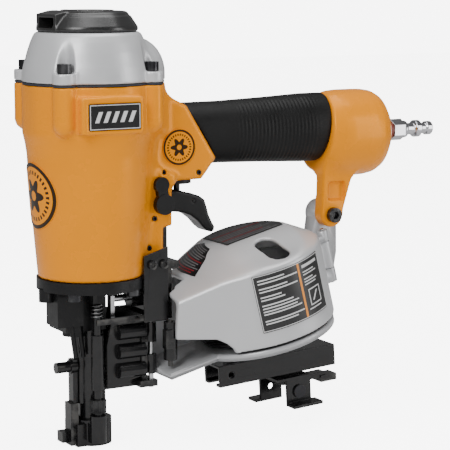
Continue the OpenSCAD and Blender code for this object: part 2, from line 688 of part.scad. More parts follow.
module side_label() color("Black") in_magazine() difference() {
    translate([0, 0, 10]) cylinder(r = cover_r + 0.65, h = 36.6, $fn = 96);
    translate([0, 0, 5]) cylinder(r = cover_r + gap, h = 45, $fn = 96);
    block([-60, 60], [-30, 60], [0, 60]);
    block([-60, -22], [-60, 60], [0, 60]);
    block([27.5, 60], [-60, 60], [0, 60]);
}

module nail_tray() color("DarkGray") in_magazine() difference() {
    translate([0, 0, 1]) union() {
        cylinder(r = 41, h = 2, $fn = 72);
        cylinder(r = 9, h = 16);
    }
    translate([0, 0, -5]) cylinder(r = 6.1, h = 40);
}

module cover_latch() color("Black") difference() {
    union() {
        translate([latch_pin[0], latch_pin[1], 52]) cylinder(r = 4.2, h = 24);
        block([36, 41], [-31, -26], [60, 72]);
    }
    translate([latch_pin[0], latch_pin[1], 40]) cylinder(r = 1.58, h = 50, $fn = 32);
}

module latch_pivot() color("Gray") {
    translate([latch_pin[0], latch_pin[1], 48]) cylinder(r = 1.5, h = 28.7, $fn = 32);
}

// ---- shingle guide ----

module guide_rail() color("Black") on_rail() difference() {
    block([0, rail_len], [-10, 10], [0, 14]);
    block([-1, rail_len + 1], [-8, 8], [2, 12]);
    block([-1, rail_len + 1], [-4.5, 4.5], [-1, 3]);
    for (x = [18, 38]) translate([x, 0, 10]) cylinder(r = 1.7, h = 8, $fn = 24);
    translate([9, -5, 7]) rotate([90, 0, 0]) cylinder(r = 2.1, h = 10, $fn = 24);
}

module rail_screws() color("Gray") on_rail() for (x = [18, 38])
    translate([x, 0, 12 - gap]) mirror([0, 0, 1]) socket_screw(1.6, 8, 3, 2);

module clamp_plate() color("Gray") on_rail() {
    block([43, 63], [-7.8, 7.8], [2.1, 4.6]);
    block([45, 61], [-4.3, 4.3], [-2, 3]);
}

module guide_bracket() color("Black") on_rail() difference() {
    union() {
        block([41, 66], [-12, 12], [-4.2, -2.1]);
        block([41, 57], [9.9, 12], [-19, -3]);
        block([48, 66], [-12, -9.9], [-19, -3]);
        block([37, 57], [9.9, 20], [-21, -19]);
        block([48, 70], [-20, -9.9], [-21, -19]);
    }
    translate([53, 0, -10]) cylinder(r = 2.6, h = 20);
    along_y(5, 20, 2, 49, -12);
    along_y(-20, -5, 2.1, 57, -12);
}

module bracket_rivet() color("Gray") on_rail() {
    along_y(-13.4, -12.05, 4.4, 57, -12);
    along_y(-12.1, -8.5, 2, 57, -12);
}

module guide_lever() color("Black") on_rail() difference() {
    union() {
        translate([53, 0, -8.4]) cylinder(r = 6, h = 4.1);
        block([53, 82], [-5, 3], [-8.4, -4.9]);
        block([78, 90], [-6, 4], [-11.4, -7]);
        translate([53, 0, -8]) cylinder(r = 2.5, h = 6, $fn = 32);
    }
    translate([53, 0, -20]) cylinder(r = 1, h = 14, $fn = 24);
}

main_frame();
head_gasket();
cylinder_cap();
cap_bolts();
cylinder_sleeve();
sleeve_seals();
bumper();
grip();
badge_plate();
round_badges();
roll_pins();
valve_body();
nose_housing();
nose_tube();
nose_bolts();
shield_plate();
shield_screws();
feed_cylinder();
magazine_base();
base_screws();
hinge_pin();
leg_screw();
leg_nut();
guide_rail();
rail_screws();
thread_seal();
air_plug();
door_hinge_pin();
latch_pivot();
deflector_bolt();
exhaust_deflector();
piston();
piston_ring();
driver_blade();
head_valve();
head_valve_spring();
trigger();
trigger_lever();
lever_pivot();
valve_stem();
valve_spring();
mode_selector();
contact_foot();
contact_rod();
contact_spring();
depth_wheel();
feed_piston();
feed_spring();
feed_pawl();
feed_door();
cover_latch();
magazine_cover();
top_label();
side_label();
nail_tray();
guide_bracket();
bracket_rivet();
clamp_plate();
guide_lever();
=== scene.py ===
"""Coil roofing nailer: castings modelled as distance fields, materials, light and camera."""
import math

import bpy
import numpy as np
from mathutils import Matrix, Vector


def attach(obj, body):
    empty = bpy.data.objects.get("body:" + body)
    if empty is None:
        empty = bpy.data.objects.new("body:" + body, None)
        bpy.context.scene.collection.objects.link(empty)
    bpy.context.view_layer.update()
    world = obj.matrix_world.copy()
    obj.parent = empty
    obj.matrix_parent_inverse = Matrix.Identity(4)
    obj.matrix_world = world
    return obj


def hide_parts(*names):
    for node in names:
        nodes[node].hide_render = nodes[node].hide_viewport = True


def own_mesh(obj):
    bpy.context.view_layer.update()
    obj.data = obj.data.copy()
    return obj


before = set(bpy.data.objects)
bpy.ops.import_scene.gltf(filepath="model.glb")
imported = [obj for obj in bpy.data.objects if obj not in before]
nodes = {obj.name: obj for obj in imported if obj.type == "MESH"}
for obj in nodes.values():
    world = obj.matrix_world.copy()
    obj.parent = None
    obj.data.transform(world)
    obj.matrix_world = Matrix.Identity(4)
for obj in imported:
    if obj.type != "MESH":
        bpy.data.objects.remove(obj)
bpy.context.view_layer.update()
MM = 0.001
COARSE = 1.0

# Places that several pieces share, in millimetres, as the CAD has them.
BOLT = 28.4                 # cap screws: distance from the axis along X and along Y
NOSE_BOLT = 19.5            # nose screws, in the same way
CAP_Z = 223.3               # where the cap meets its gasket
GRIP_Z = 188.6              # axis of the handle
BULB_Z = 183.7              # axis of the bulb and the air plug
PIVOT = (40.5, 148)         # trigger's pivot: x, z
VALVE = (60, 0)             # trigger valve: x, y
LEG = (169, 131.5)          # screw through the leg: x, z
ROD = (-2.4, -14)           # contact rod: x, y
FEED = (-6, 90)             # feed cylinder: y, z
LATCH = (42, -25)           # latch pivot: x, y
DRUM = (113, -15, 65)       # foot of the canister's axis
TILT = math.radians(14)     # lean of that axis towards -X
HINGE = (61, 5)             # cover's hinge in the canister's frame: u, v
PAD_Y = -41.3               # face of the pad that holds the badge plate
SIDE_BADGE = (52.6, 182.1, 11.1)    # round badge on the neck: x, z, radius
FRONT_BADGE = (156, 20.2)           # round badge on the front: z, radius


def link(name, data):
    """Adds an object to the scene."""
    obj = bpy.data.objects.new(name, data)
    bpy.context.scene.collection.objects.link(obj)
    return obj


def square(d):
    """Four places at d from the axis along X and along Y."""
    return [(sx * d, sy * d) for sx in (-1, 1) for sy in (-1, 1)]


# ---- distance fields, in millimetres ----

def smin(a, b, k):
    """Union of two fields with a fillet of about k."""
    h = np.clip(0.5 + 0.5 * (b - a) / k, 0, 1)
    return b + (a - b) * h - k * h * (1 - h)


def smax(a, b, k):
    """Common part of two fields with a rounding of about k."""
    return -smin(-a, -b, k)


def box_field(p, lo, hi, r=0.0):
    """Box from lo to hi with its edges rounded to r."""
    q = [np.abs(p[i] - (lo[i] + hi[i]) / 2) - (hi[i] - lo[i]) / 2 + r for i in range(3)]
    outside = np.sqrt(sum(np.maximum(v, 0) ** 2 for v in q))
    return outside + np.minimum(np.maximum(np.maximum(q[0], q[1]), q[2]), 0) - r


def rod_field(p, axis, centre, r, lo, hi, edge=0.4):
    """Cylinder along one axis; centre holds the other two coordinates."""
    a, b = [i for i in range(3) if i != axis]
    d = np.hypot(p[a] - centre[0], p[b] - centre[1]) - r
    return smax(d, np.abs(p[axis] - (lo + hi) / 2) - (hi - lo) / 2, edge)


def ball_field(p, centre, r):
    """Ball of radius r."""
    return np.sqrt(sum((p[i] - centre[i]) ** 2 for i in range(3))) - r


def turned_field(rad, along, profile, edge=0.8):
    """Turned shape: rad is the distance from its axis and profile a list of (along, radius)."""
    at, r = zip(*profile)
    d = (rad - np.interp(along, at, r)) * 0.93
    return smax(d, np.maximum(at[0] - along, along - at[-1]), edge)


def plate_field(p, outline, lo, hi, r=1.0, axes=(0, 2, 1)):
    """Polygon in the first two axes, extruded along the third, with edges rounded to r."""
    x, y, z = (p[i] for i in axes)
    d = np.full(x.shape, 1e9, np.float32)
    inside = np.zeros(x.shape, bool)
    for (x0, y0), (x1, y1) in zip(outline, outline[1:] + outline[:1]):
        ex, ey = x1 - x0, y1 - y0
        t = np.clip(((x - x0) * ex + (y - y0) * ey) / (ex * ex + ey * ey), 0, 1)
        d = np.minimum(d, np.hypot(x - x0 - t * ex, y - y0 - t * ey))
        if y0 != y1:
            inside ^= ((y0 > y) != (y1 > y)) & (x < ex * (y - y0) / ey + x0)
    flat = np.where(inside, -d, d)
    return smax(flat, np.abs(z - (lo + hi) / 2) - (hi - lo) / 2, r)


def skin(name, field, lo, hi, step=1.0):
    """Meshes the zero level of a field with surface nets."""
    n = [int(math.ceil((hi[i] - lo[i]) / step)) + 1 for i in range(3)]
    axes = [np.float32(lo[i]) + np.arange(n[i], dtype=np.float32) * np.float32(step)
            for i in range(3)]
    d = field(np.meshgrid(*axes, indexing="ij")).astype(np.float32)
    d[np.abs(d) < 1e-5] = 1e-5
    neg = d < 0
    cells = tuple(k - 1 for k in n)
    total = np.zeros(cells + (3,), np.float32)
    hits = np.zeros(cells, np.float32)
    corner = [(i, j, k) for i in (0, 1) for j in (0, 1) for k in (0, 1)]

    def shifted(a, c):
        return a[c[0]:c[0] + cells[0], c[1]:c[1] + cells[1], c[2]:c[2] + cells[2]]

    for c in corner:
        for axis in range(3):
            if c[axis]:
                continue
            e = list(c)
            e[axis] = 1
            a, b = shifted(d, c), shifted(d, e)
            cross = shifted(neg, c) != shifted(neg, e)
            t = np.where(cross, a / np.where(cross, a - b, 1), 0)
            for i in range(3):
                total[..., i] += np.where(cross, t if i == axis else c[i], 0)
            hits += cross
    used = hits > 0
    index = np.full(cells, -1, np.int64)
    index[used] = np.arange(used.sum())
    base = np.stack(np.nonzero(used), -1)
    verts = (base + total[used] / hits[used][:, None]) * step + np.array(lo)
    quads = []
    for axis in range(3):
        u, v = (axis + 1) % 3, (axis + 2) % 3
        a = neg[tuple(slice(0, -1) if i == axis else slice(1, -1) for i in range(3))]
        b = neg[tuple(slice(1, None) if i == axis else slice(1, -1) for i in range(3))]
        at = np.stack(np.nonzero(a != b), -1)
        flip = a[tuple(at.T)]
        at = at + np.array([0 if i == axis else 1 for i in range(3)])
        du, dv = np.eye(3, dtype=int)[u], np.eye(3, dtype=int)[v]
        ring = [at - du - dv, at - dv, at, at - du]
        q = np.stack([index[tuple(r.T)] for r in ring], -1)
        q[~flip] = q[~flip][:, ::-1]
        quads.append(q)
    faces = np.concatenate(quads)
    mesh = bpy.data.meshes.new(name)
    mesh.vertices.add(len(verts))
    mesh.vertices.foreach_set("co", (verts * MM).astype(np.float32).ravel())
    mesh.loops.add(faces.size)
    mesh.loops.foreach_set("vertex_index", faces.astype(np.int32).ravel())
    mesh.polygons.add(len(faces))
    mesh.polygons.foreach_set("loop_start", np.arange(0, faces.size, 4, dtype=np.int32))
    mesh.update(calc_edges=True)
    mesh.validate()
    mesh.polygons.foreach_set("use_smooth", np.ones(len(mesh.polygons), bool))
    return link(name, mesh)


def place(obj, body, slot, *stands_for):
    """Puts a piece on a body and hides the nodes that it stands for."""
    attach(obj, body)
    if stands_for:
        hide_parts(*stands_for)
    return obj


# ---- castings ----

def casting_field(p):
    """Body casting: barrel, neck, handle core, bulb and leg, less its bores."""
    x, y, z = p
    body = turned_field(np.hypot(x, y), z, [
        (105, 32.0), (112, 32.6), (148, 35.6), (172, 37.2), (180, 37.6), (187, 38.6), (193, 40),
        (222, 40)], 1.0)
    body = smax(body, np.maximum(np.abs(x) - 39.6, np.abs(y) - 39.8), 1.2)
    back = plate_field(p, [(0, 108), (41.6, 108), (42, 133), (47.8, 134), (47.8, 164), (30, 172),
                           (0, 180)], -17.9, 17.9, 2.2)
    body = smin(body, back, 5)
    neck = plate_field(p, [(20, 161), (69.4, 161.3), (79.8, 174.1), (59.2, 207.4), (48, 213),
                           (34, 220), (20, 220)], -17, 17, 3.2)
    body = smin(body, neck, 7)
    for at in square(BOLT):
        rib = rod_field(p, 2, at, 7.1, 199.5, 222, 0.6)
        rib = smin(rib, ball_field(p, (*at, 200), 7.1), 0.5)
        body = smin(body, rib, 2.6)
    lobe = rod_field(p, 2, (24, 0), 24.9, 194, 222, 1.5)
    body = smin(body, lobe, 6)
    pad = box_field(p, (-23.1, PAD_Y, 194.6), (16.7, -20, 216.4), 0.9)
    body = smin(body, pad, 1.6)
    body = smax(body, z - 222, 0.5)
    core = smax(np.hypot(y / 0.8, z - GRIP_Z) - 15, np.maximum(44 - x, x - 175), 0.5)
    body = smin(body, core, 0.6)
    bulb = turned_field(np.hypot(y / 0.85, z - BULB_Z), x, [
        (150, 21), (159, 22.9), (163, 24.4), (167, 26.6), (172, 28.0), (178, 28.5), (190, 28.5),
        (197, 28.3), (203, 27.3), (208, 24.6), (212, 19.2), (215.5, 13), (218, 8)], 1.2)
    leg = plate_field(p, [(163.4, 170), (185.6, 170), (184.6, 157), (176.7, 131.5),
                          (161.1, 131.5), (162, 157)], -12, -2, 1.1)
    leg = smin(leg, rod_field(p, 1, LEG, 8.2, -12, -2, 1.1), 1.0)
    bulb = smin(bulb, leg, 5)
    bulb = smax(bulb, (164 + (z - GRIP_Z) * 0.12 - x) * 0.99, 0.8)
    body = smin(body, bulb, 0.7)
    cuts = [
        rod_field(p, 2, (0, 0), 33, 158, 240, 0.2),                 # air chamber
        rod_field(p, 2, (0, 0), 25.6, 140, 170, 0.2),               # seat of the liner's seal
        rod_field(p, 2, (0, 0), 28, 112, 150, 0.2),                 # lower chamber round the liner
        rod_field(p, 2, (0, 0), 9, 90, 130, 0.2),                   # way down for the blade
        rod_field(p, 0, (0, GRIP_Z), 10, 30, 208, 0.2),             # air passage in the handle
        rod_field(p, 0, (0, BULB_Z), 4.6, 200, 230, 0.2),           # air plug
        box_field(p, (32.2, -8.4, 132), (60, 8.4, 161)),            # slot of the trigger
        box_field(p, (43, -8.4, 120), (60, 8.4, 140)),              # its lower mouth
        rod_field(p, 1, PIVOT, 2.6, -30, 30, 0.1),
        rod_field(p, 2, VALVE, 8.05, 155, 182, 0.1),
        rod_field(p, 1, LEG, 3.1, -20, 0, 0.1),
        box_field(p, (165.6, -16, 141), (178.4, -9, 153), 1.6),     # pocket in the leg
        box_field(p, (-18.9, -50, 197), (14.7, -40.3, 212.6), 0.4),     # badge plate
    ]
    cuts += [rod_field(p, 2, at, 2.7, 198, 240, 0.1) for at in square(BOLT)]
    cuts += [rod_field(p, 2, at, 2.6, 90, 111, 0.1) for at in square(NOSE_BOLT)]
    roll_pins = ((66.7, 165.8), (42, 167.2), (35.3, 139.3), (31.5, 121.4))
    cuts += [rod_field(p, 1, at, 1.55, -30, -12, 0.1) for at in roll_pins]
    shield_screws = ((30, 112), (38, 112))
    cuts += [rod_field(p, 1, at, 1.65, -30, -13, 0.1) for at in shield_screws]
    for c in cuts:
        body = smax(body, -c, 0.5)
    return smax(body, 105 - z, 0.5)


def cap_field(p):
    """Cylinder cap with its lobe, arched screw lugs and exhaust holes."""
    x, y, z = p
    cap = turned_field(np.hypot(x, y), z, [
        (CAP_Z, 40), (229, 39.5), (233, 38.7), (236, 37.8), (241.3, 36.4), (247.3, 34.3),
        (251, 32.6), (253, 31.2)], 1.4)
    lobe = turned_field(np.hypot(x - 24, y), z, [
        (CAP_Z, 25), (230, 24.9), (234, 24.2), (238, 22.8), (242, 20.4), (245, 17.6),
        (247.5, 14), (249, 10), (250, 4)], 1.0)
    cap = smin(cap, lobe, 3.2)
    for at in square(BOLT):
        cap = smin(cap, rod_field(p, 2, at, 7.1, CAP_Z, 230, 0.8), 1.8)
        arch = smax(np.hypot(x - at[0], y - at[1]) - 5.7, 230 - z, 0.5)
        cap = smax(cap, -arch, 1.3)
        cap = smax(cap, -rod_field(p, 2, at, 2.7, 200, 240, 0.1), 0.2)
    cap = smax(cap, CAP_Z - z, 0.5)
    for c in (rod_field(p, 2, (0, 0), 27.5, 200, 246, 0.2),         # head valve
              rod_field(p, 2, (0, 0), 9.1, 240, 250, 0.2),          # exhaust chamber
              rod_field(p, 2, (0, 0), 2.55, 240, 260, 0.1)):        # deflector screw
        cap = smax(cap, -c, 0.3)
    for i in range(6):
        a = math.radians(60 * i)
        at = (6 * math.cos(a), 6 * math.sin(a))
        cap = smax(cap, -rod_field(p, 2, at, 2.2, 240, 260, 0.1), 0.2)
    return cap


def grip_field(p):
    """Rubber grip with fine ribs round its sides."""
    x, y, z = p
    rad = np.hypot(y / 0.8, z - GRIP_Z)
    wave = 0.22 * np.cos(x * (2 * math.pi / 2.7))
    wave *= np.clip((x - 92) / 10, 0, 1) * np.clip((157 - x) / 6, 0, 1)
    wave *= np.clip(np.abs(y) / 7 - 0.6, 0, 1)
    grip = turned_field(rad + 0.25 + wave, x, [(50, 19.6), (90, 19.8), (122, 21), (150, 22.4),
                                               (175, 22.4)], 0.5)
    grip = smax(grip, (59.55 + (207.5 - z) * 0.6228 - x) * 0.85, 1.2)
    grip = smax(grip, (x - 163.9 - (z - GRIP_Z) * 0.12) * 0.99, 1.2)
    return smax(grip, -(rad - 15.08), 0.2)


def trigger_field(p):
    """Curved trigger, hollow for the lever."""
    body = plate_field(p, [(40.5, 155.2), (56, 154.4), (66, 152.2), (72.4, 149.9), (76.2, 147.2),
                           (78, 142), (79.4, 137), (81.6, 132.6), (83.4, 129.6), (82.9, 127),
                           (81.2, 126), (78.6, 126.9), (75, 129.8), (71.3, 134), (66.4, 137.6),
                           (60.3, 140), (52, 140.9), (40.5, 140.8)], -8, 8, 2.2)
    body = smin(body, rod_field(p, 1, PIVOT, 7.3, -8, 8, 0.8), 1.5)
    for c in (rod_field(p, 1, PIVOT, 2.6, -9, 9, 0.1),
              box_field(p, (48.9, -6.2, 144.2), (73.4, 6.2, 170), 0.6),
              box_field(p, (48, -6.2, 130), (57, 6.2, 150), 0.6),
              rod_field(p, 1, (68, 147), 1.05, -9, 9, 0.1)):        # lever's pin
        body = smax(body, -c, 0.3)
    return body


def deflector_field(p):
    """Exhaust deflector: a dished disc with a mouth towards -X."""
    x, y, z = p
    rad = np.hypot(x, y)
    disc = turned_field(rad, z, [(253.15, 29.6), (254.2, 30.4), (256, 30.2), (262.2, 26.2),
                                 (263, 25.0), (264.4, 24.2), (265.2, 22.6), (265.9, 17)], 0.6)
    mouth = plate_field(p, [(-27.4, 253.5), (-27.4, 263.6), (-20, 265.4), (-8, 265.6),
                            (-8, 253.5)], -13.9, 13.9, 0.9)
    body = smin(disc, mouth, 1.2)
    groove = np.hypot(rad - 17.4, (z - 266.4)) - 1.5
    body = smax(body, -groove, 0.5)
    for c in (box_field(p, (-40, -11, 255.5), (-11, 11, 261.5), 0.8),
              rod_field(p, 2, (0, 0), 2.6, 250, 280, 0.1),
              rod_field(p, 2, (0, 0), 6, 262.5, 280, 0.3)):
        body = smax(body, -c, 0.3)
    well = smax(smax(rad - 21, 3.6 - rad, 0.1), z - 261.5, 0.3)
    return smax(smax(body, -well, 0.3), 253.12 - z, 0.2)


def cover_outline(u, v, w, inset):
    """Outside of the cover in the canister's frame (w along its axis), drawn in by inset."""
    r = np.hypot(u, v)
    at, radius = zip(*[(-2, 47.6), (46.5, 47.6), (48.3, 47.2), (49.6, 46), (51, 44),
                       (60, 30), (62, 26)])
    drum = (r - np.interp(w + inset * 0.7, at, radius) + inset) * 0.86
    walls = plate_field((u, v, w), [(-14, inset - 44), (inset - 68, inset - 17),
                                    (inset - 68, -8), (-44, 20 - inset), (0, 0)],
                        -20, 50 - inset, 2.2, axes=(0, 1, 2))
    d = smin(drum, walls, 1.8)
    d = smax(d, w - 60 + inset, 1.0)
    d = smax(d, (w - 60 + inset - (v + 10) * 0.2962) * 0.96, 1.2)
    return smax(d, (w - 60 + inset - (u + 18) * 0.364 - (v + 8) * 0.283) * 0.91, 3.0)


def cover_field(p):
    """Canister's cover: a thin wall with its window, hole, hinge lug and notches."""
    x, y, z = (p[i] - DRUM[i] for i in range(3))
    c, s = math.cos(TILT), math.sin(TILT)
    q = u, v, w = x * c + z * s, y, z * c - x * s
    d = smax(cover_outline(u, v, w, 0), 0.3 - w, 0.3)
    d = smax(d, -cover_outline(u, v, w, 2.6), 0.3)
    d = smax(d, -box_field(q, (-60, 0.6, -4), (60, 60, 36.1)), 0.1)     # where the base has its wall
    window = plate_field(q, [(-95, -2), (-37, -2), (-38.2, 3.4), (-41, 7.4), (-46, 11.6),
                             (-95, 24.5)], -60, -5, 0.6)
    for cut in (box_field(q, (-80, -5, -4), (-20, 60, 37)),             # nails' way to the nose
                box_field(q, (-80, -14.3, 0), (-64.6, 60, 60)),         # clear of the side plate
                box_field(q, (-3, -41.5, 40), (11, -14.5, 70), 6.9),    # long hole in the top
                window):
        d = smax(d, -cut, 0.6)
    lug = smin(box_field(q, (44, 2.8, 17.2), (61, 4.6, 35.8), 0.5),
               rod_field(q, 2, HINGE, 3.4, 17.2, 35.8, 0.3), 0.5)
    lug = smin(lug, box_field(q, (43, -6, 17.2), (49, 4.6, 35.8), 0.5), 0.3)
    d = smin(d, lug, 1.0)
    for cut in (box_field(q, (41.5, 0.6, 35.9), (62, 16.2, 40.2)),      # clear of the base's lug
                rod_field(q, 2, HINGE, 1.58, 0, 60, 0.1),
                box_field(p, (30, -20.8, 40), (54, 40, 130)),           # clear of the nose
                box_field(p, (30, -40, 40), (42.6, 40, 130)),
                rod_field(p, 2, LATCH, 4.5, 50, 77, 0.1),
                box_field(p, (42, -21.9, 50), (47, -20, 100))):         # sliver by the latch
        d = smax(d, -cut, 0.3)
    base_wall = smax(np.hypot(u, v) - 46.6, w - 36.1, 0.1)
    return smax(d, -smax(base_wall, 0.8 - v, 0.1), 0.2)


casting = place(skin("body_casting", casting_field, (-42, -43, 103), (221, 43, 224), 1.15 * COARSE),
                "tool", "orange_enamel", "main_frame")
cap = place(skin("cap_casting", cap_field, (-42, -42, 221), (51, 42, 255), 0.8 * COARSE),
            "tool", "cast_aluminium", "cylinder_cap")
grip = place(skin("rubber_grip", grip_field, (56, -20, 162), (172, 20, 214), 0.7 * COARSE),
             "tool", "grip_rubber", "grip")
trigger = place(skin("trigger_casting", trigger_field, (31, -9, 124), (86, 9, 158), 0.5 * COARSE),
                "trigger_unit", "black_nylon", "trigger")
deflector = place(skin("deflector_shell", deflector_field, (-31.8, -32, 252), (32, 32, 267),
                       0.6 * COARSE), "deflector", "black_nylon", "exhaust_deflector")
cover = place(skin("cover_casting", cover_field, (40, -65, 48), (174, 34, 138), 0.8 * COARSE),
              "cover", "magazine_silver", "magazine_cover")


# ---- materials ----

class Graph:
    """Builds one procedural material; a value may be a number, a colour or another node's output."""

    def __init__(self, name):
        self.mat = bpy.data.materials.new(name)
        self.mat.use_nodes = True
        self.tree = self.mat.node_tree
        self.shader = self.tree.nodes["Principled BSDF"]
        self.coords = self.tree.nodes.new("ShaderNodeTexCoord").outputs["Object"]

    def feed(self, socket, value):
        if isinstance(value, bpy.types.NodeSocket):
            self.tree.links.new(value, socket)
        else:
            socket.default_value = value

    def node(self, kind, inputs=None, **values):
        """Adds a node; inputs are keyed by name, or by index where names repeat."""
        n = self.tree.nodes.new("ShaderNode" + kind)
        for k, v in values.items():
            setattr(n, k, v)
        for k, v in (inputs or {}).items():
            self.feed(n.inputs[k], v)
        return n

    def math(self, operation, a, b):
        return self.node("Math", {0: a, 1: b}, operation=operation).outputs[0]

    def noise(self, scale, detail=4.0, stretch=(1, 1, 1)):
        place_at = self.node("Mapping", {"Vector": self.coords, "Scale": stretch})
        return self.node("TexNoise", {"Vector": place_at.outputs[0], "Scale": scale,
                                      "Detail": detail}).outputs["Fac"]

    def remap(self, value, a, b, lo=0.0, hi=1.0):
        return self.node("MapRange", {"Value": value, "From Min": a, "From Max": b,
                                      "To Min": lo, "To Max": hi}).outputs[0]

    def mix(self, factor, a, b):
        """Blends two colours; a plain colour is (red, green, blue)."""
        a, b = ((*v, 1) if isinstance(v, tuple) else v for v in (a, b))
        return self.node("Mix", {0: factor, 6: a, 7: b}, data_type="RGBA").outputs[2]

    def set(self, name, value):
        self.feed(self.shader.inputs[name], value)

    def bump(self, *layers):
        """Stacks (height socket, distance in metres) layers into the normal."""
        last = None
        for height, distance in layers:
            inputs = {"Height": height, "Distance": distance, "Strength": 1.0}
            if last:
                inputs["Normal"] = last
            last = self.node("Bump", inputs).outputs[0]
        self.set("Normal", last)


def finish_of(name, colour, rough, metal=0.0, coat=0.0, grain=900, depth=0.00002, vary=0.06,
              wear=None, dust=0.0, spec=0.5, tint=(1, 1, 1), stretch=(1, 1, 1)):
    """Cast, painted, moulded or plated surface with its grain, roughness drift and edge wear.

    grain is the noise scale of the fine bumps, depth their height in metres, vary the drift of
    the colour's brightness, wear the colour of worn edges and dust the share of dust on it.
    """
    g = Graph(name)
    fine = g.noise(grain, 3, stretch)
    shade = g.remap(g.noise(22), 0.3, 0.7, 1 - vary, 1 + vary * 0.5)
    base = g.node("HueSaturation", {"Value": shade, "Color": (*colour, 1)}).outputs[0]
    if dust:
        base = g.mix(g.remap(g.noise(60, 6), 0.5, 0.8, 0, dust), base, (0.30, 0.28, 0.25))
    if wear:
        edge = g.remap(g.node("NewGeometry").outputs["Pointiness"], 0.53, 0.60)
        worn = g.math("MULTIPLY", edge, g.remap(g.noise(140, 5), 0.42, 0.60))
        base = g.mix(worn, base, wear)
    g.set("Base Color", base)
    g.set("Roughness", g.remap(g.noise(45, 5), 0.3, 0.7, max(rough - 0.07, 0.02), rough + 0.07))
    g.set("Metallic", metal)
    g.set("Specular IOR Level", spec)
    g.set("Specular Tint", (*tint, 1))
    g.set("Coat Weight", coat)
    g.set("Coat Roughness", 0.08)
    g.bump((fine, depth), (g.noise(120, 2), depth * 3))
    return g.mat


def rubber(name):
    """Dull black rubber with a fine grain."""
    g = Graph(name)
    patch = g.remap(g.noise(35), 0.35, 0.7)
    g.set("Base Color", g.mix(patch, (0.003, 0.003, 0.003), (0.006, 0.006, 0.006)))
    g.set("Roughness", g.remap(g.noise(70), 0.3, 0.7, 0.42, 0.58))
    g.set("Specular IOR Level", 0.2)
    g.bump((g.noise(2600, 2), 0.00004))
    return g.mat


ORANGE = (0.80, 0.262, 0.0)
MATS = {
    "orange": finish_of("orange_paint", ORANGE, 0.26, coat=0.05, grain=1500,
                        depth=0.000008, vary=0.04, wear=(0.75, 0.28, 0.03), spec=0.8,
                        tint=(1.0, 0.38, 0.01)),
    "silver": finish_of("cap_paint", (0.55, 0.555, 0.565), 0.36, metal=0.3, coat=0.15, grain=1900,
                        depth=0.00002, vary=0.05, wear=(0.62, 0.62, 0.62)),
    "drum": finish_of("drum_paint", (0.52, 0.525, 0.535), 0.38, metal=0.3, coat=0.12, grain=1700,
                      depth=0.00002, vary=0.05, wear=(0.60, 0.60, 0.60)),
    # base: the drum's silver paint made darker and without wear; the darkening is painted shade for
    # the base's leg
    "base": finish_of("base_paint_with_painted_shade", (0.46, 0.465, 0.475), 0.40, metal=0.3, coat=0.1, grain=1700,
                      depth=0.00002, vary=0.05),
    "plastic": finish_of("black_nylon", (0.004, 0.004, 0.0045), 0.36, grain=1600, depth=0.00003,
                         vary=0.12, dust=0.006, spec=0.3),
    "black_steel": finish_of("black_oxide", (0.005, 0.005, 0.0055), 0.22, grain=1300, depth=0.00003,
                             vary=0.2, wear=(0.06, 0.058, 0.055), dust=0.008, spec=0.42),
    "black_cast": finish_of("black_casting", (0.0045, 0.0045, 0.005), 0.36, grain=900, depth=0.00005,
                            vary=0.2, wear=(0.03, 0.03, 0.03), dust=0.008, spec=0.25),
    # deflector: the black nylon with a satin gloss; its base colour, three times as light, is painted
    # sheen
    "satin_painted_sheen_plastic": finish_of("satin_painted_sheen_nylon", (0.012, 0.012, 0.012), 0.30, grain=1600,
                               depth=0.00002, vary=0.1, spec=0.6),
    "zinc": finish_of("black_zinc", (0.035, 0.035, 0.038), 0.30, metal=0.9, grain=1600,
                      depth=0.00002, vary=0.15, wear=(0.35, 0.35, 0.35)),
    "steel": finish_of("bright_steel", (0.55, 0.55, 0.56), 0.24, metal=1.0, grain=900,
                       depth=0.00001, vary=0.10, stretch=(1, 1, 12)),
    "chrome": finish_of("plated_plug", (0.50, 0.50, 0.52), 0.16, metal=1.0, grain=700,
                        depth=0.000006, vary=0.05, stretch=(20, 1, 1)),
    "gasket": finish_of("gasket_board", (0.02, 0.022, 0.03), 0.7, grain=1200, depth=0.00004),
    "seal": finish_of("thread_sealant", (0.20, 0.03, 0.015), 0.45, grain=1500, depth=0.00004),
    "rubber": rubber("grip_rubber"),
    "ink": finish_of("label_film", (0.006, 0.006, 0.006), 0.30, coat=0.1, grain=2500,
                     depth=0.000004, vary=0.05),
    "print_white": finish_of("label_white", (0.62, 0.62, 0.62), 0.4, grain=2500, depth=0.000002),
    "print_grey": finish_of("label_grey", (0.12, 0.12, 0.125), 0.4, grain=2500, depth=0.000002),
    "print_orange": finish_of("label_orange", (0.80, 0.27, 0.02), 0.4, grain=2500,
                              depth=0.000002),
    "print_red": finish_of("label_red", (0.20, 0.008, 0.014), 0.4, grain=2500, depth=0.000002),
    "urethane": finish_of("bumper_urethane", (0.16, 0.09, 0.02), 0.5),
    "alloy": finish_of("machined_alloy", (0.52, 0.53, 0.54), 0.3, metal=1.0, grain=600,
                       stretch=(1, 1, 30)),
}

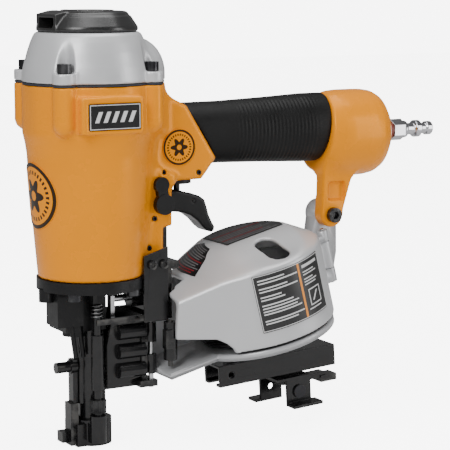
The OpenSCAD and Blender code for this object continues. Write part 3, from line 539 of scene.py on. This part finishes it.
NODE_FINISH = {
    "zinc": ["cap_bolts", "deflector_bolt", "base_screws", "nose_bolts", "rail_screws",
             "bracket_rivet", "contact_spring", "head_valve_spring", "valve_spring",
             "feed_spring"],
    "steel": ["leg_nut", "hinge_pin", "door_hinge_pin", "driver_blade", "feed_piston",
              "feed_pawl"],
    "chrome": ["air_plug"],
    "black_steel": ["nose_tube", "shield_plate", "feed_cylinder", "contact_foot", "contact_rod",
                    "feed_door", "cover_latch", "guide_rail", "guide_bracket", "guide_lever",
                    "roll_pins", "latch_pivot", "lever_pivot", "trigger_lever", "valve_stem",
                    "shield_screws", "leg_screw", "clamp_plate"],
    "black_cast": ["nose_housing", "depth_wheel"],
    "plastic": ["mode_selector", "valve_body", "head_valve", "nail_tray", "exhaust_deflector"],
    "silver": ["cylinder_cap"],
    "drum": ["magazine_cover"],
    "base": ["magazine_base"],
    "orange": ["main_frame"],
    "gasket": ["head_gasket"],
    "rubber": ["grip", "sleeve_seals", "piston_ring"],
    "ink": ["badge_plate", "round_badges", "top_label", "side_label"],
    "seal": ["thread_seal"],
    "urethane": ["bumper"],
    "alloy": ["cylinder_sleeve", "piston"],
}


def paint(obj, finish):
    """Gives all of a mesh one finish."""
    slots = obj.data.materials
    if not slots:
        slots.append(MATS[finish])
    for i in range(len(slots)):
        slots[i] = MATS[finish]


for finish, members in NODE_FINISH.items():
    for n in members:
        paint(nodes[n], finish)
for obj, finish in ((casting, "orange"), (cap, "silver"), (grip, "rubber"),
                    (trigger, "plastic"), (deflector, "satin_painted_sheen_plastic"), (cover, "drum")):
    paint(obj, finish)


# ---- printed marks: plain bars and outlines, no words ----

def drum_point(u, v, w):
    """Canister's own frame to the tool's frame, in millimetres."""
    return (DRUM[0] + u * math.cos(TILT) - w * math.sin(TILT), DRUM[1] + v,
            DRUM[2] + u * math.sin(TILT) + w * math.cos(TILT))


def on_wall(angle, w, h):
    """Height h over the side label, which follows the canister's round wall."""
    a = math.radians(angle)
    r = 48.25 + h
    return drum_point(r * math.cos(a), r * math.sin(a), w)


def on_crown(u, v, h):
    """Height h over the top label."""
    return drum_point(u, v, 60.75 + h)


def on_flank(angle, r, h):
    """Sloping side of the cover, found by steps down onto its outline; r is from its axis."""
    u, v = r * np.cos(np.radians(angle)), r * np.sin(np.radians(angle))
    w = np.float64(62)
    for _ in range(12):
        w = w - cover_outline(u, v, w, 0)
    return drum_point(u, v, w + h * 1.2)


def on_badge(x, z, h):
    """Height h over the badge plate."""
    return x, PAD_Y - h, z


def prints(name, body, slot, finish, surface, shapes, lift=0.03, thick=0.1, cuts=10):
    """Thin closed bars on a surface; a shape is (a0, a1, b0, b1) or four (a, b) corners."""
    verts, faces = [], []
    for s in shapes:
        corners = s
        if not isinstance(s[0], tuple):
            corners = (s[0], s[2]), (s[1], s[2]), (s[1], s[3]), (s[0], s[3])
        n = cuts if abs(corners[1][0] - corners[0][0]) > 3 else 1
        base = len(verts)
        for i in range(n + 1):
            t = i / n
            for lo, hi in ((corners[0], corners[1]), (corners[3], corners[2])):
                a, b = lo[0] + (hi[0] - lo[0]) * t, lo[1] + (hi[1] - lo[1]) * t
                for h in (lift, lift + thick):
                    verts.append([c * MM for c in surface(a, b, h)])
        for i in range(n):
            k, m = base + 4 * i, base + 4 * i + 4
            faces += [(k, m, m + 1, k + 1), (k + 1, m + 1, m + 3, k + 3),
                      (k + 3, m + 3, m + 2, k + 2), (k + 2, m + 2, m, k)]
        k, m = base, base + 4 * n
        faces += [(k, k + 1, k + 3, k + 2), (m, m + 2, m + 3, m + 1)]
    mesh = bpy.data.meshes.new(name)
    mesh.from_pydata(verts, [], faces)
    obj = link(name, mesh)
    paint(obj, finish)
    place(obj, body, slot)


def outline(a0, a1, b0, b1, wide_a, wide_b):
    """Four bars round a rectangle."""
    return [(a0, a1, b0, b0 + wide_b), (a0, a1, b1 - wide_b, b1),
            (a0, a0 + wide_a, b0 + wide_b, b1 - wide_b),
            (a1 - wide_a, a1, b0 + wide_b, b1 - wide_b)]


def side_label_prints():
    """Outline, two columns of bars, a framed stroke and the orange stripe; a is in degrees."""
    left, right, low, high = -117.0, -55.6, 10.6, 46.4
    column = right - 21     # where the right column's rows begin
    full = 62               # degrees that a row of length 1 would take
    white = outline(left, right, low, high, 0.5, 0.4)
    for t, length in ((0.09, 0.34), (0.145, 0.52), (0.24, 0.36), (0.295, 0.50), (0.39, 0.26),
                      (0.445, 0.30), (0.54, 0.40), (0.595, 0.47), (0.65, 0.44), (0.70, 0.50),
                      (0.82, 0.52), (0.87, 0.42)):
        w = high - t * (high - low)
        white.append((left + 3, left + 3 + length * full, w - 0.42, w + 0.42))
    for t, length in ((0.10, 0.28), (0.20, 0.20), (0.25, 0.24), (0.33, 0.16), (0.38, 0.23),
                      (0.43, 0.20), (0.88, 0.22)):
        w = high - t * (high - low)
        tall = 0.9 if t == 0.10 else 0.36
        white.append((column, column + length * full, w - tall, w + tall))
    white += outline(right - 19, right - 6, 16.8, 27.4, 0.8, 0.7)
    white.append(((right - 16, 19.4), (right - 14.4, 19.4), (right - 9.4, 25), (right - 11, 25)))
    prints("side_label_print", "cover", "badge_black", "print_white", on_wall, white)
    prints("side_label_stripe", "cover", "badge_black", "print_orange", on_wall,
           [(right - 25.4, right - 23.6, low + 0.4, high - 0.4)])


def top_label_prints():
    """Rows of bars across the round label, two of them red."""
    grey, red = [], []
    for i in range(9):
        v = -6.5 + 3.2 * i
        half = math.sqrt(max(26.5 ** 2 - v ** 2, 0))
        bar = (max(-14.5, -half), half - 2.5 - (i % 3) * 4, v, v + 0.7)
        (red if i in (2, 6) else grey).append(bar)
    prints("top_label_print", "cover", "badge_black", "print_grey", on_crown, grey)
    prints("top_label_red", "cover", "badge_black", "print_red", on_crown, red)


def flank_label_prints():
    """Label on the cover's sloping side, in strips that bend with it, and its bars."""
    def strip(r0, r1, short=0.0):
        """Four corners of a strip from r0 to r1 that ends short of the label's curved side."""
        ends = [float(np.interp(r, (23, 32, 39, 46), (179, 190.5, 193, 194.3))) - short
                for r in (r0, r1)]
        return (ends[0], r0), (148, r0), (148, r1), (ends[1], r1)

    prints("flank_label", "cover", "badge_black", "ink", on_flank,
           [strip(24 + 1.5 * i, 25.5 + 1.5 * i) for i in range(14)], lift=0.1, thick=0.25)
    bars = [strip(26.2 + 1.55 * i, 26.75 + 1.55 * i, 1.5 + 2.5 * (i % 3)) for i in range(12)]
    reds = (6, 10, 11)
    prints("flank_label_print", "cover", "badge_black", "print_grey", on_flank,
           [b for i, b in enumerate(bars) if i not in reds], lift=0.38)
    prints("flank_label_red", "cover", "badge_black", "print_red", on_flank,
           [b for i, b in enumerate(bars) if i in reds], lift=0.38)


def badge_prints():
    """Outline and five slanted bars on the badge plate."""
    white = outline(-18.3, 14.1, 197.6, 212.0, 0.45, 0.45)
    for i in range(5):
        x = -15.2 + 5.4 * i
        white.append(((x, 201.6), (x + 2.6, 201.6), (x + 5.2, 208.0), (x + 2.6, 208.0)))
    prints("badge_print", "tool", "badge_black", "print_white", on_badge, white)


def badge_finish():
    """Round badges: a dark rim, a toothed dial and a six-leaved figure on the body's orange."""
    g = Graph("round_badge")
    x, y, z = g.node("SeparateXYZ", {0: g.coords}).outputs
    on_front = g.math("LESS_THAN", x, 0.0)

    def choose(side, front):
        return g.node("Mix", {0: on_front, 2: side, 3: front}).outputs[0]

    across = choose(g.math("SUBTRACT", x, SIDE_BADGE[0] * MM), y)
    up = choose(g.math("SUBTRACT", z, SIDE_BADGE[1] * MM),
                g.math("SUBTRACT", z, FRONT_BADGE[0] * MM))
    size = choose(SIDE_BADGE[2] * MM, FRONT_BADGE[1] * MM)
    spot = g.node("CombineXYZ", {0: across, 1: up}).outputs[0]
    far = g.node("VectorMath", {0: spot}, operation="LENGTH").outputs["Value"]
    far = g.math("DIVIDE", far, size)
    angle = g.math("ARCTAN2", up, across)

    def wave(count):
        return g.math("COSINE", g.math("MULTIPLY", angle, count), 0.0)

    def band(low, high):
        return g.math("MULTIPLY", g.math("GREATER_THAN", far, low), g.math("LESS_THAN", far, high))

    leaves = g.math("ADD", g.math("MULTIPLY", wave(6.0), 0.12), 0.42)
    figure = band(0.15, leaves)
    dial = g.math("MULTIPLY", band(0.64, 0.76), g.math("GREATER_THAN", wave(30.0), 0.0))
    dark = g.math("MAXIMUM", g.math("MAXIMUM", figure, dial), band(0.87, 0.985))
    g.set("Base Color", g.mix(dark, ORANGE, (0.012, 0.012, 0.012)))
    g.set("Roughness", 0.3)
    g.set("Specular IOR Level", 0.4)
    g.set("Specular Tint", (1.0, 0.42, 0.02, 1))
    return g.mat


side_label_prints()
top_label_prints()
flank_label_prints()
badge_prints()
MATS["round_badge"] = badge_finish()
paint(nodes["round_badges"], "round_badge")


# ---- springs, wound as meshes ----

def coil(node, axis, centre, radius, wire, low, high, turns):
    """Spring of round wire from low to high, wound round centre along the given axis."""
    steps, sides = 20 * turns, 8
    verts, faces = [], []
    for i in range(steps + 1):
        turn = 2 * math.pi * turns * i / steps
        mid = low + wire + (high - low - 2 * wire) * i / steps
        for k in range(sides):
            bend = 2 * math.pi * k / sides
            r, along = radius + wire * math.cos(bend), mid + wire * math.sin(bend)
            a, b = centre[0] + r * math.cos(turn), centre[1] + r * math.sin(turn)
            verts.append([c * MM for c in ((a, b, along) if axis == 2 else (along, a, b))])
    for i in range(steps):
        for k in range(sides):
            p, q = i * sides + k, i * sides + (k + 1) % sides
            faces.append((p, p + sides, q + sides, q))
    faces += [tuple(range(sides)), tuple(steps * sides + k for k in reversed(range(sides)))]
    mesh = bpy.data.meshes.new(node + "_wound")
    mesh.from_pydata(verts, [], faces)
    mesh.polygons.foreach_set("use_smooth", [True] * len(mesh.polygons))
    obj = link(node + "_wound", mesh)
    paint(obj, "zinc")
    place(obj, "tool", "spring_wire", node)
    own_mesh(obj)


coil("contact_spring", 2, ROD, 3.6, 0.45, 80.1, 89.9, 4)
coil("valve_spring", 2, VALVE, 3.4, 0.5, 165.8, 177.9, 5)
coil("head_valve_spring", 2, (0, 0), 16, 0.9, 226.2, 245.9, 4)
coil("feed_spring", 0, FEED, 3.2, 0.5, 28.6, 43.9, 5)


# ---- edges of the parts that stay as the CAD has them ----

BEVEL = {
    0.9: ["nose_housing", "contact_foot"],
    0.8: ["feed_door", "mode_selector"],
    0.6: ["feed_cylinder"],
    0.5: ["nose_tube", "contact_rod", "cover_latch", "guide_rail", "guide_lever", "nail_tray"],
    0.4: ["guide_bracket", "thread_seal"],
    0.3: ["shield_plate", "cap_bolts", "leg_screw", "leg_nut", "deflector_bolt", "clamp_plate",
          "cylinder_sleeve", "piston", "head_valve", "valve_body"],
    0.25: ["depth_wheel", "nose_bolts", "air_plug"],
    0.2: ["magazine_base", "base_screws", "shield_screws", "rail_screws", "bracket_rivet",
          "trigger_lever", "feed_piston", "feed_pawl"],
    0.15: ["head_gasket"],
    0.12: ["badge_plate"],
    0.1: ["side_label", "top_label", "roll_pins"],
}


def round_edges(obj, width):
    """Bevels the sharp edges of a CAD mesh and keeps its flat faces flat."""
    obj.data.polygons.foreach_set("use_smooth", np.ones(len(obj.data.polygons), bool))
    weld = obj.modifiers.new("weld", "WELD")
    weld.merge_threshold = 0.000002
    bevel = obj.modifiers.new("edges", "BEVEL")
    bevel.width = width * MM
    bevel.segments = 2
    bevel.limit_method = "ANGLE"
    bevel.angle_limit = math.radians(32)
    clean = obj.modifiers.new("clean", "WELD")      # drops faces that the bevel leaves without area
    clean.merge_threshold = 0.000001
    weighted = obj.modifiers.new("normals", "WEIGHTED_NORMAL")
    weighted.keep_sharp = True


for width, members in BEVEL.items():
    for n in members:
        round_edges(nodes[n], width)


# ---- light, floor and camera ----

SKY_LIGHT = 0.22        # strength of the backdrop as a light
SKY_SEEN = 7.0          # and as the camera sees it
FLOOR_SEEN = 6.5        # glow of the floor for the camera only


def aimed(name, data, at, direction):
    """Puts a lamp or the camera at a place, looking along direction."""
    obj = link(name, data)
    obj.location = at
    obj.rotation_euler = direction.to_track_quat("-Z", "Y").to_euler()
    return obj


def area(name, at, aim, size, power):
    """White rectangular lamp at a place, aimed at a point, in metres and watts."""
    data = bpy.data.lights.new(name, "AREA")
    data.shape = "RECTANGLE"
    data.size, data.size_y = size
    data.energy = power
    aimed(name, data, at, Vector(aim) - Vector(at))


def studio():
    """Four soft lamps, and a backdrop and floor that look near white but light little."""
    area("key", (-0.80, -0.60, 0.80), (0.03, 0, 0.15), (0.5, 0.7), 11)
    area("side", (0.80, -0.70, 0.30), (0.10, 0, 0.13), (0.30, 0.8), 4)
    area("top", (0.10, -0.10, 0.95), (0.08, 0, 0.12), (0.9, 0.6), 7)
    area("front", (-0.30, -1.15, 0.12), (0.05, 0, 0.12), (0.9, 0.5), 1.0)
    world = bpy.data.worlds.new("studio")
    world.use_nodes = True
    tree = world.node_tree
    path = tree.nodes.new("ShaderNodeLightPath")
    level = tree.nodes.new("ShaderNodeMapRange")
    level.inputs["To Min"].default_value = SKY_LIGHT
    level.inputs["To Max"].default_value = SKY_SEEN
    tree.links.new(path.outputs["Is Camera Ray"], level.inputs["Value"])
    tree.links.new(level.outputs[0], tree.nodes["Background"].inputs["Strength"])
    tree.nodes["Background"].inputs["Color"].default_value = (1, 1, 1, 1)
    bpy.context.scene.world = world
    mesh = bpy.data.meshes.new("floor")
    mesh.from_pydata([(-4, -4, 0), (4, -4, 0), (4, 4, 0), (-4, 4, 0)], [], [(0, 1, 2, 3)])
    floor = link("floor", mesh)
    floor.location.z = -0.0005
    g = Graph("floor_white")
    g.set("Base Color", (0.85, 0.85, 0.85, 1))
    g.set("Roughness", 0.8)
    g.set("Emission Color", (1, 1, 1, 1))
    seen = g.node("LightPath").outputs["Is Camera Ray"]
    g.set("Emission Strength", g.math("MULTIPLY", seen, FLOOR_SEEN))
    mesh.materials.append(g.mat)


def camera():
    """Long lens, low and to the tool's left front."""
    az, el = math.radians(-29.7), math.radians(8.5)
    forward = Vector((-math.sin(az) * math.cos(el), math.cos(az) * math.cos(el), -math.sin(el)))
    data = bpy.data.cameras.new("camera")
    data.lens = 136
    data.sensor_width = 36
    data.clip_start = 0.01
    at = (-0.4361, -0.9309, 0.2888)
    bpy.context.scene.camera = aimed("camera", data, at, forward)


studio()
camera()
